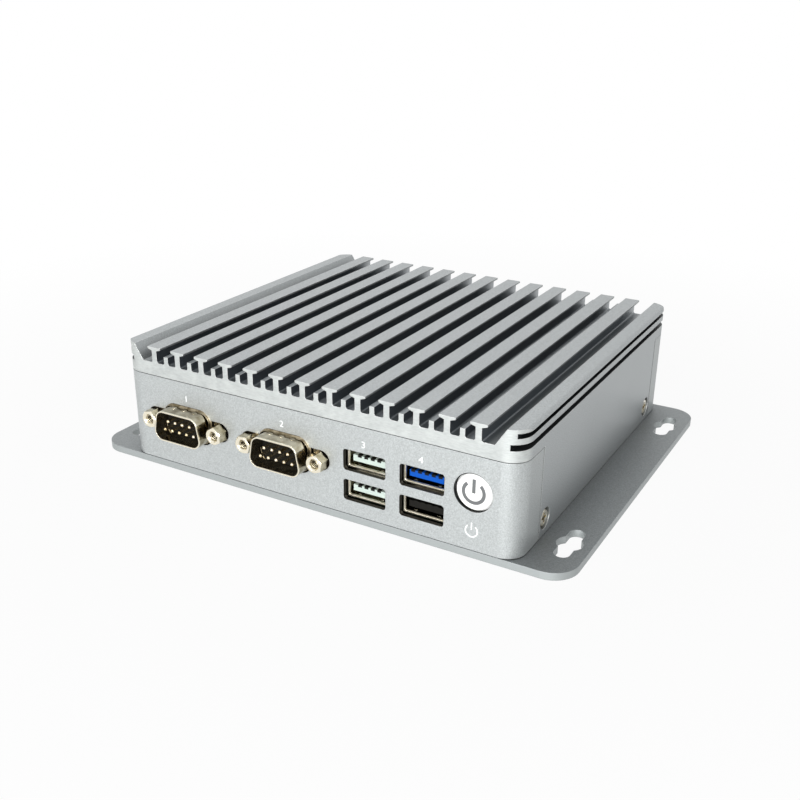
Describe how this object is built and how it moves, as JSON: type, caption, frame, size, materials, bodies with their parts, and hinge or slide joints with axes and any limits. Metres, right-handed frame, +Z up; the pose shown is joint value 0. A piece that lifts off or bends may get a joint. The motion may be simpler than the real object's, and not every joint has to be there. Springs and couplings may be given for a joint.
{
  "type": "fanless industrial computer",
  "caption": "Compact fanless industrial computer: extruded aluminium cover with T-section cooling fins, milled panels with ports and a button, and a base plate with keyhole wings.",
  "frame": {"origin": "centre of the base plate's underside", "axes": "+X to the right along the front panel, +Y from the front panel to the rear, +Z up"},
  "size_m": [0.1624, 0.1346, 0.0396],
  "materials": {
    "extruded_aluminium": "satin",
    "milled_aluminium": "satin",
    "plate_aluminium": "satin",
    "zinc_steel": "satin",
    "nickel_steel": "polished",
    "nickel_brass": "polished",
    "gold_contact": "polished",
    "black_plastic": "moulded",
    "blue_plastic": "moulded",
    "white_plastic": "moulded",
    "circuit_board": "solder mask",
    "thermal_rubber": "matt",
    "board_part": "moulded",
    "steel_cell": "bright"
  },
  "bodies": {
    "housing": {"heatsink_cover": "extruded_aluminium", "front_panel": "milled_aluminium", "rear_panel": "milled_aluminium", "base_plate": "plate_aluminium", "thermal_block": "plate_aluminium", "side_screws": "zinc_steel", "base_screws": "zinc_steel", "board_screws": "zinc_steel", "block_screws": "zinc_steel", "storage_screw": "zinc_steel", "serial_shell_left": "nickel_steel", "serial_shell_right": "nickel_steel", "usb_shell_left": "nickel_steel", "usb_shell_right": "nickel_steel", "network_shell_left": "nickel_steel", "network_shell_right": "nickel_steel", "video_shell": "nickel_steel", "monitor_shell": "nickel_steel", "power_jack_pin": "nickel_steel", "jackscrews": "nickel_brass", "board_standoffs": "nickel_brass", "storage_post": "nickel_brass", "serial_contacts_left": "gold_contact", "serial_contacts_right": "gold_contact", "usb_contacts_left": "gold_contact", "usb_contacts_right": "gold_contact", "network_contacts_left": "gold_contact", "network_contacts_right": "gold_contact", "serial_insulator_left": "black_plastic", "serial_insulator_right": "black_plastic", "usb_insulator_right": "black_plastic", "network_insert_left": "black_plastic", "network_insert_right": "black_plastic", "power_jack": "black_plastic", "video_insert": "black_plastic", "audio_jack": "black_plastic", "antenna_caps": "black_plastic", "power_switch": "black_plastic", "memory_socket": "black_plastic", "storage_socket": "black_plastic", "cell_holder": "black_plastic", "monitor_insulator": "blue_plastic", "usb_tongue_fast": "blue_plastic", "usb_insulator_left": "white_plastic", "button_holder": "white_plastic", "main_board": "circuit_board", "switch_board": "circuit_board", "memory_module": "circuit_board", "storage_card": "circuit_board", "processor": "circuit_board", "thermal_pad": "thermal_rubber", "inductors": "board_part", "capacitors": "board_part", "coin_cell": "steel_cell"},
    "button": {"power_button": "white_plastic", "switch_plunger": "white_plastic"}
  },
  "joints": [
    {"name": "button_press", "type": "slide", "parent": "housing", "child": "button", "axis": [0, 1, 0], "range_m": [0, 0.0006], "stiffness_N_per_m": 2000, "springref_m": -0.0003}
  ]
}
